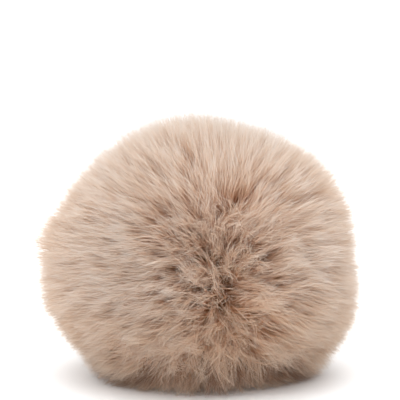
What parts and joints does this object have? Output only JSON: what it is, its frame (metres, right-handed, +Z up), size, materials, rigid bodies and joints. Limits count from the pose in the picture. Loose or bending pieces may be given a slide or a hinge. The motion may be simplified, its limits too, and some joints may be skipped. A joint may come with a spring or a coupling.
{
  "type": "faux-fur pom pom with a sew-on press stud",
  "caption": "Fluffy beige faux-fur ball with a flattened underside and a round press stud sewn to its base, for clipping onto a hat or bag.",
  "frame": {"origin": "on the surface that the pom pom stands on, below the press stud, at the middle of the fur's outline", "axes": "+Z up from the surface through the stud's axis, -Y towards the viewer of the front, +X to the viewer's right"},
  "size_m": [0.1206, 0.1138, 0.0941],
  "materials": {
    "fur_pile": "long soft beige acrylic pile, paler at the tips and brown at the roots",
    "backing_cloth": "matt cream knitted backing with short stray fibres",
    "black_enamel": "glossy black enamel with a rubbed brass rim",
    "brass": "polished, slightly green-gold"
  },
  "bodies": {
    "root": {"fur": "fur_pile", "base_patch": "backing_cloth", "snap_plate": "black_enamel", "snap_stud": "brass"}
  },
  "joints": []
}
